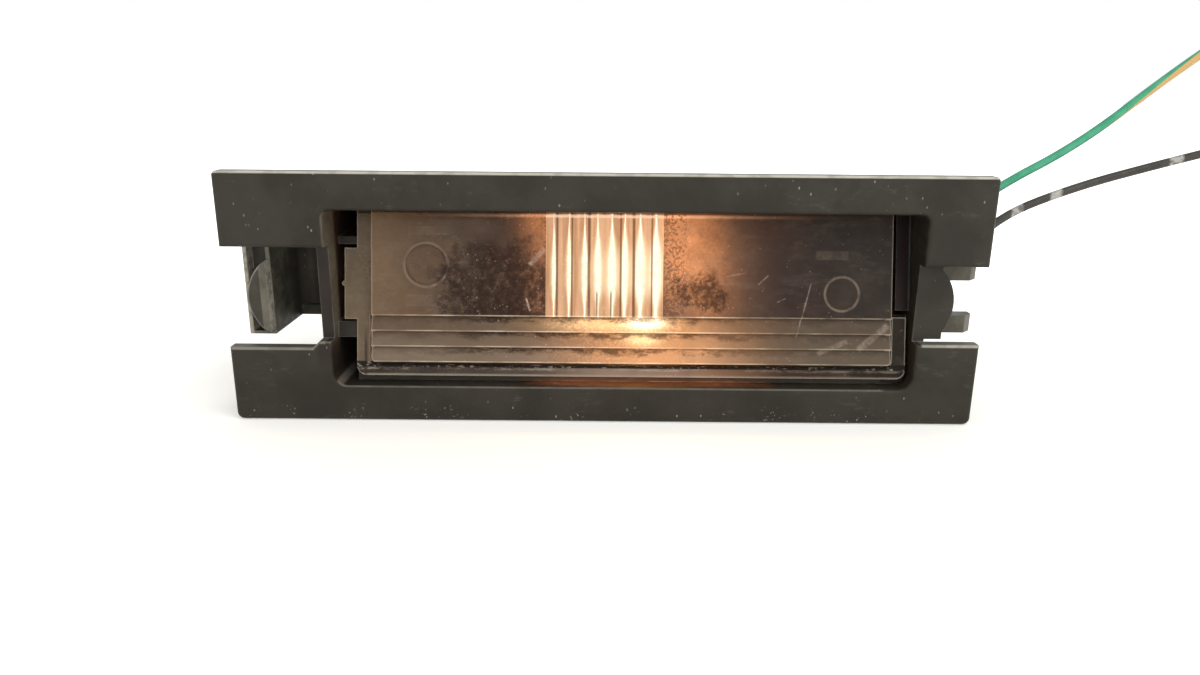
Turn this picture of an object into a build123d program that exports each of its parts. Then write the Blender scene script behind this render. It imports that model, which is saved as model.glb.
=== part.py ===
from build123d import *

import math
import os

# Number plate lamp with a clip-in housing, a tilted lens and a wedge bulb on two leads.
# Millimetres. X runs along the lamp, Z is up and the lit side faces -Y.
# The origin is the middle of the bezel's seat, the plane that lies on the car's panel.

# Bezel
bezel_width = 100.7
bezel_height = 33.7
bezel_thick = 2.0
left_end_width = 13.7
right_end_width = 8.5
bezel_corner_top = 0.6
bezel_corner_bottom = 0.9
bezel_edge_round = 0.5
left_notch_low = -6.6
left_notch_high = 7.0
right_notch_low = -5.5
right_notch_high = 5.1
notch_corner_chamfer = 0.9

# Box behind the bezel
open_low = -11.9
open_high = 11.85
open_corner = 1.8
open_corner_top = 1.0
wall = 1.6
rear_depth = 23.5
box_edge_round = 1.2
overlap = 0.4

# Seat frame inside the box, on which the lens lies
frame_wall = 1.6
pocket_width = 2.6
right_pocket_width = 2.3
seat_low_width = 2.3
seat_high_width = 1.45
right_seat_top = -2.6
right_ledge_width = 1.9
right_ledge_low = -1.8
right_ledge_thick = 1.2
right_ledge_proud = 1.0
upper_rib_low = 6.4
upper_rib_high = 7.4
lower_rib_low = -6.0
lower_rib_high = -3.9
rib_proud = 0.75

# Lens, drawn flat and then tilted
lens_tilt = 14.0
lens_face_depth = 0.7
face_left_margin = 5.1
face_right_margin = 3.0
face_low = -8.86
face_high = 12.0
face_corner = 0.6
face_rise = 1.45
rim_left_margin = 2.8
rim_right_margin = 0.6
rim_low = -10.77
rim_right_top = -2.3
rim_corner = 1.3
rim_thick = 1.6
lens_wall = 1.9
tab_margin = 1.1
tab_low = -3.1
tab_high = 6.6
tab_nub = 0.35
flute_reach = 25.0
flute_count = 8
flute_pitch = 1.975
flute_height = 0.55
step_top = -2.58
step_count = 3
step_pitch = 2.09
step_depth = 0.45
lip_groove_width = 0.5
lip_groove_depth = 0.5

# Snap legs of the lens
leg_thick = 1.05
leg_gap = 0.35
leg_width = 3.6
leg_length = 7.0
leg_left_z = 1.3
leg_right_z = -6.6
barb_height = 0.85
barb_length = 2.2
window_clearance = 0.4

# Spring clip on the left
clip_inset = 0.9
clip_arm = 3.5
clip_front = 3.6
clip_back = 17.5
clip_low = -6.2
clip_high = 6.9
clip_web = 1.5
clip_bend = 3.4
clip_inner_bend = 1.9
clip_skin = 0.4
clip_end_skin = 0.4
clip_rib = 0.5
clip_pocket_depth = 2.0
clip_bar_height = 1.45
clip_bar_depth = 1.4
clip_barb = 0.25
clip_barb_length = 4.5
pad_front = 1.2
pad_inset = 0.9
pad_bulge = 2.5
pad_low = -5.55
pad_high = 4.5
pad_bevel = 0.25
pad_side_bevel = 0.65

# End plate and hooks on the right
plate_setback = 1.5
plate_centre_z = -0.3
plate_radius = 6.6
plate_back = 2.5
plate_step = 2.3
plate_low = -5.15
hook_length = 7.5
hook_depth = 2.4
hook_height = 2.45
hook_offset = 2.45
hook_lead_in = 1.2

# Wedge bulb, along X with its tip to the left
bulb_y = 13.6
bulb_z = 5.0
bulb_setback = 26.4
glass_radius = 4.9
glass_wall = 0.7
glass_length = 20.3
glass_tip_round = 4.2
glass_neck = 6.2
foot_half_width = 4.6
foot_thick = 2.3
foot_length = 7.6
filament_centre = 12.7
filament_span = 4.4
filament_bow = 0.9
filament_radius = 0.3
lead_radius = 0.225
lead_clearance = 0.04
lead_fold_length = 6.0

# Bulb holder, turned into the right-hand wall
holder_radius = 6.2
holder_clearance = 0.2
holder_relief = 0.6
holder_flange_radius = 8.1
holder_flange_thick = 1.4
holder_grip_thick = 1.6
holder_grip_long = 13.0
holder_grip_wide = 5.2
holder_edge_chamfer = 0.45
holder_socket_inset = 0.8
lug_reach = 1.6
lug_width = 3.0
lug_thick = 1.4
lug_clearance = 0.15
lug_slot_angle = 45.0
seal_thick = 0.9
seal_outer_radius = 7.8
seal_chamfer = 0.25
seal_clearance = 0.05
cavity_half_height = 5.0
contact_thick = 0.35
contact_width = 2.7
contact_clearance = 0.03
contact_bow_length = 2.3
contact_bow = 0.45
crimp_radius = 0.85
crimp_length = 5.0
crimp_gap = 0.2
wire_offset_y = 1.45
wire_offset_z = 2.9
wire_bore_clearance = 0.1

# Leads
wire_diameter = 1.2
wire_straight = 3.2
bend_share = 0.45

# Two-way connector at the far end, lying on the floor that the bezel's lower edge stands on
connector_rear = 141.0
connector_y = 19.7
connector_length = 19.0
connector_width = 10.4
connector_height = 6.6
connector_pitch = 4.6
connector_corner = 0.9
nose_length = 6.0
nose_inset = 0.9
latch_width = 3.6
latch_thick = 0.9
latch_gap = 0.9
latch_length = 12.0
latch_ramp = 0.8
side_rib_width = 1.2
side_rib_proud = 0.5
seal_bore_radius = 1.75
seal_bore_depth = 4.6
wire_seal_ribs = 3
wire_seal_rib_height = 0.2
terminal_box = 2.2
terminal_box_length = 6.5
terminal_clearance = 0.1
terminal_mouth = 1.1
lock_thick = 1.6

# Worked-out places
open_left = left_end_width - bezel_width / 2
open_right = bezel_width / 2 - right_end_width
box_left = open_left - wall
box_right = open_right + wall
box_low = open_low - wall
box_high = open_high + wall
floor_depth = rear_depth - wall
floor_z = -bezel_height / 2
seat_drop = face_rise + rim_thick
inner_left = open_left + pocket_width + frame_wall
inner_right = open_right - right_pocket_width - frame_wall
inner_low = open_low + seat_low_width
inner_high = open_high - seat_high_width
face_left = open_left + face_left_margin
face_right = open_right - face_right_margin
rim_left = open_left + rim_left_margin
rim_right = open_right - rim_right_margin
tab_left = open_left + tab_margin
clip_outer = bezel_width / 2 - clip_inset
pad_chord = clip_outer - pad_inset - pad_bulge
plate_centre_x = open_right - plate_setback
plate_step_x = box_right + plate_step
hook_reach = box_right + hook_length
bulb_socket_x = box_right - bulb_setback
flute_left = bulb_socket_x - flute_reach
foot_end_x = bulb_socket_x + foot_length
cavity_half_depth = (
    foot_thick / 2 + 2 * lead_clearance + 2 * lead_radius
    + 2 * contact_clearance + contact_bow + contact_thick
)
flange_x = box_right + seal_thick
grip_x = flange_x + holder_flange_thick
holder_end_x = grip_x + holder_grip_thick
crimp_end_x = grip_x - crimp_gap
connector_z = floor_z + connector_height / 2
nose_x = connector_rear + connector_length
terminal_x = connector_rear + seal_bore_depth

lens_normal = (0, -math.cos(math.radians(lens_tilt)), math.sin(math.radians(lens_tilt)))
lens_place = Plane((0, lens_face_depth, 0), x_dir=(1, 0, 0), z_dir=lens_normal).location
bulb_place = Pos(0, bulb_y, bulb_z)
turned_over = Rot(180, 0, 0)

# Points of the leads' routes, from the crimp in the holder to the terminal in the connector
green_route = [
    (crimp_end_x, bulb_y + wire_offset_y, bulb_z + wire_offset_z),
    (holder_end_x + wire_straight, bulb_y + wire_offset_y, bulb_z + wire_offset_z),
    (56.9, 14.6, 13.7),
    (68.2, 14.2, 20.2),
    (79.6, 14.0, 30.1),
    (91.0, 14.5, 38.3),
    (101.0, 15.5, 42.4),
    (111.0, 17.0, 38.2),
    (118.0, 18.5, 25.4),
    (122.0, 19.8, 9.6),
    (127.4, 21.2, -5.4),
    (134.6, connector_y + connector_pitch / 2, connector_z),
    (terminal_x, connector_y + connector_pitch / 2, connector_z),
]
black_route = [
    (crimp_end_x, bulb_y - wire_offset_y, bulb_z - wire_offset_z),
    (holder_end_x + wire_straight, bulb_y - wire_offset_y, bulb_z - wire_offset_z),
    (56.9, 13.0, 9.6),
    (68.0, 13.8, 14.0),
    (80.0, 13.6, 17.5),
    (92.0, 10.5, 21.4),
    (104.0, 6.5, 21.4),
    (115.0, 4.0, 16.0),
    (124.0, 4.6, 6.4),
    (129.4, 9.0, -6.2),
    (135.4, connector_y - connector_pitch / 2, connector_z),
    (terminal_x, connector_y - connector_pitch / 2, connector_z),
]


def area(left, right, low, high):
    """A rectangle in the sketch plane."""
    return Pos((left + right) / 2, (low + high) / 2) * Rectangle(right - left, high - low)


def slab(sketch, front, back):
    """A sketch drawn in X and Z, as a solid from the depth front to the depth back."""
    return extrude(Plane.XZ.offset(-back) * sketch, back - front)


def plan(sketch, low, high):
    """A sketch drawn in X and Y, as a solid from the height low to the height high."""
    return extrude(Plane.XY.offset(low) * sketch, high - low)


def along(sketch, start, end):
    """A sketch drawn in Y and Z, as a solid from start to end along X."""
    return extrude(Plane.YZ.offset(start) * sketch, end - start)


def polygon(*points):
    """A closed outline of straight sides."""
    return make_face(Polyline(*points, close=True))


def before_lens_level(drop):
    """Everything in front of the plane that lies drop behind the lens's main face."""
    reach = 2 * bezel_width
    return lens_place * Pos(0, 0, reach / 2 - drop) * Box(reach, reach, reach)


def opening():
    """Outline of the opening, rounder at its lower corners than at its upper ones."""
    outline = area(open_left, open_right, open_low, open_high)
    outline = fillet(outline.vertices().group_by(Axis.Y)[-1], open_corner_top)
    return fillet(outline.vertices().group_by(Axis.Y)[0], open_corner)


def make_bezel():
    """Upper and lower bars of the bezel, parted by the two notches."""
    half_width = bezel_width / 2
    half_height = bezel_height / 2
    plate = area(-half_width, half_width, -half_height, half_height)
    plate = fillet(plate.vertices().group_by(Axis.Y)[-1], bezel_corner_top)
    plate = fillet(plate.vertices().group_by(Axis.Y)[0], bezel_corner_bottom)
    left = polygon(
        (-half_width - overlap, left_notch_high),
        (open_left, left_notch_high),
        (open_left, left_notch_low + notch_corner_chamfer),
        (box_left, left_notch_low + notch_corner_chamfer),
        (box_left - notch_corner_chamfer, left_notch_low),
        (-half_width - overlap, left_notch_low),
    )
    right = area(open_right, half_width + overlap, right_notch_low, right_notch_high)
    bars = slab(plate - opening() - left - right, -bezel_thick, 0)
    return fillet(bars.faces().group_by(Axis.Y)[0].edges(), bezel_edge_round)


def make_box():
    """Deep box with its rear closed and the opening's corners rounded."""
    outside = slab(area(box_left, box_right, box_low, box_high), -overlap, rear_depth)
    outside = fillet(outside.faces().sort_by(Axis.Y)[-1].edges(), box_edge_round)
    outside -= slab(area(box_left, box_right, box_low, box_high), -overlap, 0)
    return outside - slab(opening(), 0, floor_depth)


def make_seat_frame():
    """Inner walls with a tilted top, the pockets beside them, two cross ribs and the ledge."""
    filled = area(open_left - overlap, open_right + overlap, open_low - overlap, open_high + overlap)
    hollow = area(inner_left, inner_right, inner_low, inner_high)
    hollow += area(0, open_right, right_seat_top, inner_high)
    left_pocket = area(open_left, open_left + pocket_width, open_low, open_high)
    right_pocket = area(
        open_right - right_pocket_width, open_right, inner_low, right_seat_top - frame_wall
    )
    walls = slab(filled - hollow - left_pocket - right_pocket, 0, floor_depth + overlap)
    walls -= before_lens_level(seat_drop)
    ribs = None
    for low, high in ((upper_rib_low, upper_rib_high), (lower_rib_low, lower_rib_high)):
        rib = area(open_left - overlap, open_left + pocket_width + overlap, low, high)
        rib = slab(rib, 0, floor_depth + overlap)
        ribs = rib if ribs is None else ribs + rib
    ribs -= before_lens_level(seat_drop - rib_proud)
    beside_rim = area(inner_left - frame_wall, inner_right, open_low, open_high)
    ribs -= slab(beside_rim, 0, floor_depth) & before_lens_level(seat_drop)
    ledge = area(open_right - right_ledge_width, open_right + overlap, right_ledge_low, open_high + overlap)
    ledge_front = seat_drop - right_ledge_proud
    ledge = slab(ledge, 0, floor_depth) & before_lens_level(ledge_front + right_ledge_thick)
    return walls + ribs + (ledge - before_lens_level(ledge_front))


def make_clip():
    """U-shaped spring arm with a cored front end, a barb and the half-moon push pad."""
    inner = clip_outer - clip_arm
    profile = area(-clip_outer, box_left + overlap, clip_front, clip_back)
    profile -= area(-inner, box_left + 2 * overlap, clip_front - overlap, clip_back - clip_web)
    outer_corner = profile.vertices().group_by(Axis.Y)[-1].sort_by(Axis.X)[0]
    profile = fillet(outer_corner, clip_bend)
    inner_corner = profile.vertices().sort_by_distance((-inner, clip_back - clip_web))[0]
    profile = fillet(inner_corner, clip_inner_bend)
    arm = plan(profile, clip_low, clip_high)
    pocket = area(-clip_outer + clip_skin, -inner - clip_rib, clip_front, clip_front + clip_pocket_depth)
    arm -= plan(pocket, clip_low + clip_end_skin, clip_high - clip_end_skin)
    bar = area(
        -inner - overlap, box_left + overlap, clip_back - clip_web - clip_bar_depth, clip_back - clip_web
    )
    arm += plan(bar, clip_low, clip_low + clip_bar_height)
    arm += plan(bar, clip_high - clip_bar_height, clip_high)
    barb = polygon(
        (-clip_outer + overlap, clip_front),
        (-clip_outer, clip_front),
        (-clip_outer - clip_barb, clip_front + clip_barb),
        (-clip_outer, clip_front + clip_barb_length),
        (-clip_outer + overlap, clip_front + clip_barb_length),
    )
    arm += plan(barb, clip_low, clip_high)
    middle = (pad_low + pad_high) / 2
    bow = ThreePointArc(
        (-pad_chord, pad_low), (-pad_chord - pad_bulge, middle), (-pad_chord, pad_high)
    )
    half_moon = make_face([bow, Line((-pad_chord, pad_high), (-pad_chord, pad_low))])
    pad = slab(half_moon, pad_front, clip_front + clip_pocket_depth + overlap)
    side = pad.faces().sort_by(Axis.Y)[0].edges().sort_by(Axis.X)[-1]
    pad = chamfer(side, pad_side_bevel)
    bowed = pad.faces().sort_by(Axis.Y)[0].edges().sort_by(Axis.X)[0]
    pad = chamfer(bowed, pad_bevel)
    return arm + pad


def make_end_plate():
    """Round-ended plate in the right-hand notch, with the two hooks behind it."""
    round_end = Pos(plate_centre_x, plate_centre_z) * Circle(plate_radius)
    outline = area(
        box_right - overlap, plate_centre_x + 2 * plate_radius, plate_low, right_notch_high + overlap
    )
    outline &= round_end + area(plate_centre_x, plate_step_x, plate_low, plate_centre_z)
    ends = slab(outline, 0, plate_back)
    hook = polygon(
        (box_right - overlap, plate_back),
        (hook_reach - hook_lead_in, plate_back),
        (hook_reach, plate_back + hook_lead_in),
        (hook_reach, plate_back + hook_depth),
        (box_right - overlap, plate_back + hook_depth),
    )
    ends += plan(hook, hook_offset, hook_offset + hook_height)
    ends += plan(hook, -hook_offset - hook_height, -hook_offset)
    return ends


def holder_hole():
    """Hole for the holder, its two bayonet slots and the relief along the holder's barrel."""
    hole_radius = holder_radius + holder_clearance
    hole = along(Circle(hole_radius), inner_right, box_right + overlap)
    relief = along(Circle(holder_radius + holder_relief), bulb_socket_x, open_right)
    slot_long = 2 * (holder_radius + lug_reach + holder_clearance)
    slots = Rot(0, 0, lug_slot_angle) * Rectangle(slot_long, lug_width + 2 * holder_clearance)
    return bulb_place * (hole + relief + along(slots, open_right, box_right + overlap))


def leg_places():
    """Inner face, direction of the barb and height of each snap leg of the lens."""
    left_face = open_left + pocket_width - leg_gap
    right_face = open_right - right_pocket_width + leg_gap
    return ((left_face, 1, leg_left_z), (right_face, -1, leg_right_z))


def leg_depths(height):
    """Where a leg starts, under the lens's rim, and where it ends."""
    tilt = math.radians(lens_tilt)
    start = lens_face_depth + height * math.tan(tilt) + (face_rise + rim_thick / 2) / math.cos(tilt)
    return start, start + leg_length


def make_housing():
    """The black moulding: bezel, box, seat frame, clip, end plate and hooks in one piece."""
    housing = make_box() + make_seat_frame()
    housing += make_bezel()
    housing += make_clip()
    housing += make_end_plate()
    housing -= holder_hole()
    for face, side, height in leg_places():
        start, end = leg_depths(height)
        reach = leg_gap + frame_wall + overlap
        window = area(
            min(face, face + side * reach),
            max(face, face + side * reach),
            end - barb_length - window_clearance,
            end + window_clearance,
        )
        half = leg_width / 2 + window_clearance
        housing -= plan(window, height - half, height + half)
    return housing


def make_lens():
    """Clear lens: stepped rim, raised face with flutes and steps, release tab and snap legs."""
    rim = area(rim_left, face_right, rim_low, face_high)
    rim += area(rim_left, rim_right, rim_low, rim_right_top)
    rim = fillet(rim.vertices().group_by(Axis.Y)[0], rim_corner)
    rim += area(tab_left, rim_left + overlap, tab_low, tab_high)
    rim += Pos(tab_left, (tab_low + tab_high) / 2) * Circle(tab_nub)
    lens = extrude(Plane.XY.offset(-seat_drop) * rim, rim_thick)

    face = area(face_left, face_right, face_low, face_high)
    face = fillet(face.vertices().group_by(Axis.Y)[0], face_corner)
    groove = offset(face, lip_groove_width, kind=Kind.INTERSECTION)
    groove &= area(rim_left, rim_right, rim_low, rim_right_top)
    lens -= extrude(Plane.XY.offset(-face_rise - lip_groove_depth) * groove, lip_groove_depth)
    lens += extrude(Plane.XY.offset(-seat_drop) * face, seat_drop)

    hollow = area(inner_left + leg_gap, inner_right - leg_gap, inner_low + leg_gap, inner_high - leg_gap)
    lens -= extrude(Plane.XY.offset(-seat_drop) * hollow, seat_drop - lens_wall)

    for number in range(step_count):
        top = step_top - number * step_pitch
        tooth = polygon((top, 0), (top, -step_depth), (top - step_pitch, 0))
        tooth_plane = Plane((face_left, 0, 0), x_dir=(0, 1, 0), z_dir=(1, 0, 0))
        lens -= extrude(tooth_plane * tooth, face_right - face_left)

    flute_right = flute_left + flute_count * flute_pitch
    trough = area(flute_left, flute_right, step_top, face_high)
    lens -= extrude(Plane.XY.offset(-flute_height) * trough, flute_height)
    bow_radius = flute_pitch**2 / (8 * flute_height) + flute_height / 2
    for number in range(flute_count):
        middle = flute_left + (number + 0.5) * flute_pitch
        bow = Pos(middle, -bow_radius) * Circle(bow_radius)
        bow &= area(middle - flute_pitch / 2, middle + flute_pitch / 2, -flute_height - overlap, 0)
        rib_plane = Plane((0, face_high, 0), x_dir=(1, 0, 0), z_dir=(0, -1, 0))
        lens += extrude(rib_plane * bow, face_high - step_top)
    lens = lens_place * lens

    for face, side, height in leg_places():
        start, end = leg_depths(height)
        outer = face - side * leg_thick
        leg = polygon(
            (outer, start),
            (face, start),
            (face, end - barb_length),
            (face + side * barb_height, end - barb_length),
            (face, end),
            (outer, end),
        )
        lens += plan(leg, height - leg_width / 2, height + leg_width / 2)
    return lens


def make_bulb_glass():
    """Hollow glass tube with a domed tip, pressed flat at the foot."""
    tip_x = bulb_socket_x - glass_length
    foot_x = bulb_socket_x
    outline = polygon(
        (tip_x, 0),
        (tip_x, glass_radius),
        (foot_x - glass_neck, glass_radius),
        (foot_x, foot_half_width),
        (foot_end_x, foot_half_width),
        (foot_end_x, 0),
    )
    tip_corner = outline.vertices().sort_by_distance((tip_x, glass_radius))[0]
    tube = revolve(fillet(tip_corner, glass_tip_round), Axis.X)
    half_foot = foot_thick / 2
    pressed = polygon(
        (tip_x - overlap, glass_radius + overlap),
        (foot_x - glass_neck, glass_radius + overlap),
        (foot_x - glass_neck / 3, half_foot),
        (foot_end_x, half_foot),
        (foot_end_x, -half_foot),
        (foot_x - glass_neck / 3, -half_foot),
        (foot_x - glass_neck, -glass_radius - overlap),
        (tip_x - overlap, -glass_radius - overlap),
    )
    glass = tube & plan(pressed, -glass_radius - overlap, glass_radius + overlap)
    bore_radius = glass_radius - glass_wall
    hollow = polygon(
        (tip_x + glass_wall, 0),
        (tip_x + glass_wall, bore_radius),
        (foot_x - glass_neck, bore_radius),
        (foot_x - glass_neck, 0),
    )
    bore_corner = hollow.vertices().sort_by_distance((tip_x + glass_wall, bore_radius))[0]
    hollow = fillet(bore_corner, glass_tip_round - glass_wall)
    glass -= revolve(hollow, Axis.X)
    for side in (-1, 1):
        hole = Pos(0, side * filament_span / 2) * Circle(lead_radius + lead_clearance)
        glass -= along(hole, foot_x - glass_neck - overlap, foot_end_x)
    return bulb_place * glass


def make_filament():
    """Bowed filament across the bulb, as wide as its coil."""
    x = bulb_socket_x - filament_centre
    half = filament_span / 2
    bow = ThreePointArc((x, 0, -half), (x - filament_bow, 0, 0), (x, 0, half))
    start = Plane(bow @ 0, z_dir=bow % 0)
    return bulb_place * sweep(start * Circle(filament_radius), path=bow)


def make_bulb_lead():
    """Lead-in wire from the filament's end through the foot, folded back over it."""
    half = filament_span / 2
    start_x = bulb_socket_x - filament_centre + filament_radius + lead_clearance
    turn_x = foot_end_x + 2 * lead_radius + lead_clearance
    fold_y = foot_thick / 2 + lead_clearance + lead_radius
    path = FilletPolyline(
        (start_x, 0, half),
        (turn_x, 0, half),
        (turn_x, fold_y, half),
        (foot_end_x - lead_fold_length, fold_y, half),
        radius=2 * lead_radius,
    )
    start = Plane(path @ 0, z_dir=path % 0)
    return sweep(start * Circle(lead_radius), path=path)


def make_contact():
    """Spring leaf that presses on the folded lead, with its crimp for the wire."""
    rest_y = cavity_half_depth - contact_clearance - contact_thick / 2
    press_y = rest_y - contact_bow
    mouth_x = bulb_socket_x + holder_socket_inset + contact_clearance
    leaf = trace(
        Polyline(
            (mouth_x, rest_y),
            (mouth_x + contact_bow_length, press_y),
            (mouth_x + 2 * contact_bow_length, rest_y),
            (crimp_end_x - crimp_length / 2, rest_y),
        ),
        contact_thick,
    )
    contact = plan(leaf, wire_offset_z - contact_width / 2, wire_offset_z + contact_width / 2)
    crimp = Pos(wire_offset_y, wire_offset_z) * Circle(crimp_radius)
    return contact + along(crimp, crimp_end_x - crimp_length, crimp_end_x)


def make_holder():
    """Twist-lock holder: slotted barrel, two lugs, flange and grip."""
    socket_x = bulb_socket_x + holder_socket_inset
    holder = along(Circle(holder_radius), socket_x, flange_x)
    holder = chamfer(holder.faces().sort_by(Axis.X)[0].edges(), holder_clearance)
    flange = along(Circle(holder_flange_radius), flange_x, grip_x)
    holder += chamfer(flange.faces().sort_by(Axis.X)[-1].edges(), holder_edge_chamfer)
    grip = along(Rot(0, 0, 90) * SlotOverall(holder_grip_long, holder_grip_wide), grip_x, holder_end_x)
    holder += chamfer(grip.faces().sort_by(Axis.X)[-1].edges(), holder_edge_chamfer)
    lug_end = open_right - lug_clearance
    lugs = Rectangle(2 * (holder_radius + lug_reach), lug_width)
    holder += along(lugs, lug_end - lug_thick, lug_end)
    cavity = Rectangle(2 * cavity_half_depth, 2 * cavity_half_height)
    holder -= along(cavity, socket_x, grip_x)
    for side in (-1, 1):
        bore = Pos(side * wire_offset_y, side * wire_offset_z)
        bore *= Circle(wire_diameter / 2 + wire_bore_clearance)
        holder -= along(bore, grip_x, holder_end_x)
    return bulb_place * holder


def make_holder_seal():
    """Rubber ring between the holder's flange and the wall."""
    ring = Circle(seal_outer_radius) - Circle(holder_radius + seal_clearance)
    ring = along(ring, box_right, flange_x)
    rims = ring.edges().filter_by(GeomType.CIRCLE).sort_by(SortBy.RADIUS)[-2:]
    return bulb_place * chamfer(rims, seal_chamfer)


def corner_radii(points):
    """The radius at each corner of a route, as large as its two runs allow."""
    radii = []
    for before, corner, after in zip(points, points[1:], points[2:]):
        arrive = Vector(*corner) - Vector(*before)
        leave = Vector(*after) - Vector(*corner)
        half_turn = math.radians(arrive.get_angle(leave) / 2)
        radii.append(bend_share * min(arrive.length, leave.length) / math.tan(half_turn))
    return radii


def make_wire(name, points):
    """A lead as a plain tube along its route."""
    radii = corner_radii(points)
    path = FilletPolyline(*points, radius=radii)
    start = Plane(path @ 0, z_dir=path % 0)
    tube = sweep(start * Circle(wire_diameter / 2), path=path)
    expected = math.pi * wire_diameter**2 / 4 * path.length
    print(name, "length", round(path.length, 1), "radii", [round(radius, 1) for radius in radii])
    print(name, "volume over section times length", round(tube.volume / expected, 4))
    return tube


def cavity_places():
    """Height and depth of the connector's two cavities."""
    return (Pos(connector_y + side * connector_pitch / 2, connector_z) for side in (1, -1))


def make_connector():
    """Two-way connector: body, nose, side ribs, latch arm and the two stepped cavities."""
    middle = Pos(connector_y, connector_z)
    body_end = nose_x - nose_length
    body = along(middle * Rectangle(connector_width, connector_height), connector_rear, body_end)
    body = fillet(body.edges().filter_by(Axis.X), connector_corner)
    nose_width = connector_width - 2 * nose_inset
    nose_height = connector_height - 2 * nose_inset
    nose = middle * Rectangle(nose_width, nose_height)
    body += along(nose, body_end, nose_x - lock_thick)
    rib_step = (connector_length - nose_length) / 3
    for number in (1, 2):
        rib_x = connector_rear + number * rib_step
        rib = middle * Rectangle(connector_width + 2 * side_rib_proud, connector_height / 2)
        body += along(rib, rib_x - side_rib_width / 2, rib_x + side_rib_width / 2)
    top = connector_z + connector_height / 2
    latch = polygon(
        (body_end - latch_gap, top - overlap),
        (body_end, top - overlap),
        (body_end, top + latch_gap),
        (body_end - latch_length / 3, top + latch_gap + latch_thick + latch_ramp),
        (body_end - latch_length / 3 - latch_ramp, top + latch_gap + latch_thick),
        (body_end - latch_length, top + latch_gap + latch_thick),
        (body_end - latch_length, top + latch_gap),
        (body_end - latch_gap, top + latch_gap),
    )
    body += extrude(
        Plane.XZ.offset(-connector_y - latch_width / 2) * latch, latch_width
    )
    for place in cavity_places():
        body -= along(place * Circle(seal_bore_radius), connector_rear, terminal_x)
        channel_width = terminal_box + 2 * terminal_clearance
        channel = place * Rectangle(channel_width, channel_width)
        body -= along(channel, terminal_x, nose_x)
    return body


def make_connector_lock():
    """Front plate that keeps the terminals in the nose, with a mouth for each."""
    width = connector_width - 2 * nose_inset
    height = connector_height - 2 * nose_inset
    plate = Pos(connector_y, connector_z) * RectangleRounded(width, height, connector_corner)
    lock = along(plate, nose_x - lock_thick, nose_x)
    for place in cavity_places():
        lock -= along(place * Rectangle(terminal_mouth, terminal_mouth), nose_x - lock_thick, nose_x)
    return lock


def make_wire_seal(place):
    """Ribbed rubber sleeve between a lead and the connector's bore."""
    core = place * Circle(seal_bore_radius - wire_seal_rib_height)
    seal = along(core, connector_rear, terminal_x)
    step = seal_bore_depth / (2 * wire_seal_ribs)
    for number in range(wire_seal_ribs):
        start = connector_rear + (2 * number + 0.5) * step
        seal += along(place * Circle(seal_bore_radius), start, start + step)
    return seal - along(place * Circle(wire_diameter / 2 + seal_clearance), connector_rear, terminal_x)


def make_terminal(place):
    """Receptacle terminal: a box with an open mouth and a closed crimp."""
    box_end = nose_x - lock_thick
    box_start = box_end - terminal_box_length
    terminal = along(place * Rectangle(terminal_box, terminal_box), box_start, box_end)
    terminal -= along(place * Rectangle(terminal_mouth, terminal_mouth), box_start + terminal_mouth, box_end)
    return terminal + along(place * Circle(crimp_radius), terminal_x, box_start)


def main():
    green_place, black_place = cavity_places()
    lead = make_bulb_lead()
    contact = make_contact()
    parts = {
        "housing": make_housing(),
        "lens": make_lens(),
        "bulb_glass": make_bulb_glass(),
        "bulb_filament": make_filament(),
        "bulb_lead_upper": bulb_place * lead,
        "bulb_lead_lower": bulb_place * turned_over * lead,
        "bulb_holder": make_holder(),
        "holder_seal": make_holder_seal(),
        "contact_upper": bulb_place * contact,
        "contact_lower": bulb_place * turned_over * contact,
        "wire_green": make_wire("wire_green", green_route),
        "wire_black": make_wire("wire_black", black_route),
        "connector_housing": make_connector(),
        "connector_lock": make_connector_lock(),
        "connector_seal_green": make_wire_seal(green_place),
        "connector_seal_black": make_wire_seal(black_place),
        "terminal_green": make_terminal(green_place),
        "terminal_black": make_terminal(black_place),
    }
    os.makedirs("parts", exist_ok=True)
    for name, shape in parts.items():
        export_step(shape, f"parts/{name}.step")


main()
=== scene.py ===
import math

import bpy
from mathutils import Matrix, Vector


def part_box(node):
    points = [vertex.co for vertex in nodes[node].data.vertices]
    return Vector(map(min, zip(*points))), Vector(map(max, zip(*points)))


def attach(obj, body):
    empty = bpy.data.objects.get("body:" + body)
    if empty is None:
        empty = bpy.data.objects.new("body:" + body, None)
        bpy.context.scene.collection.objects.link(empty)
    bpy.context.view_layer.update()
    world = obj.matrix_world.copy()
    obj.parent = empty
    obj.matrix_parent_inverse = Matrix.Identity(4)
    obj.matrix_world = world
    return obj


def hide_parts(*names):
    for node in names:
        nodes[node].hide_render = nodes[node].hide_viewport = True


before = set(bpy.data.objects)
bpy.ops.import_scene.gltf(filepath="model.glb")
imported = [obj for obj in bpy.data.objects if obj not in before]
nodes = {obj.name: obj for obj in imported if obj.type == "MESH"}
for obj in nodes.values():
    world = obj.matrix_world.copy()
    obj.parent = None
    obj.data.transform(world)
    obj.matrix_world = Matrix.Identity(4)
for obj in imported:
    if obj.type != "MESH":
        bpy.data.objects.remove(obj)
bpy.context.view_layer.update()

# Lengths are metres. Colours are linear.
MM = 0.001

# Camera: a close view from the front, a little above the lamp
image_width = 1200
focal_pixels = 870
sensor_width = 36.0
camera_place = Vector((-0.58, -113.8, 27.3)) * MM
camera_pitch = math.radians(16.0)
camera_roll = math.radians(0.49)

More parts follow.
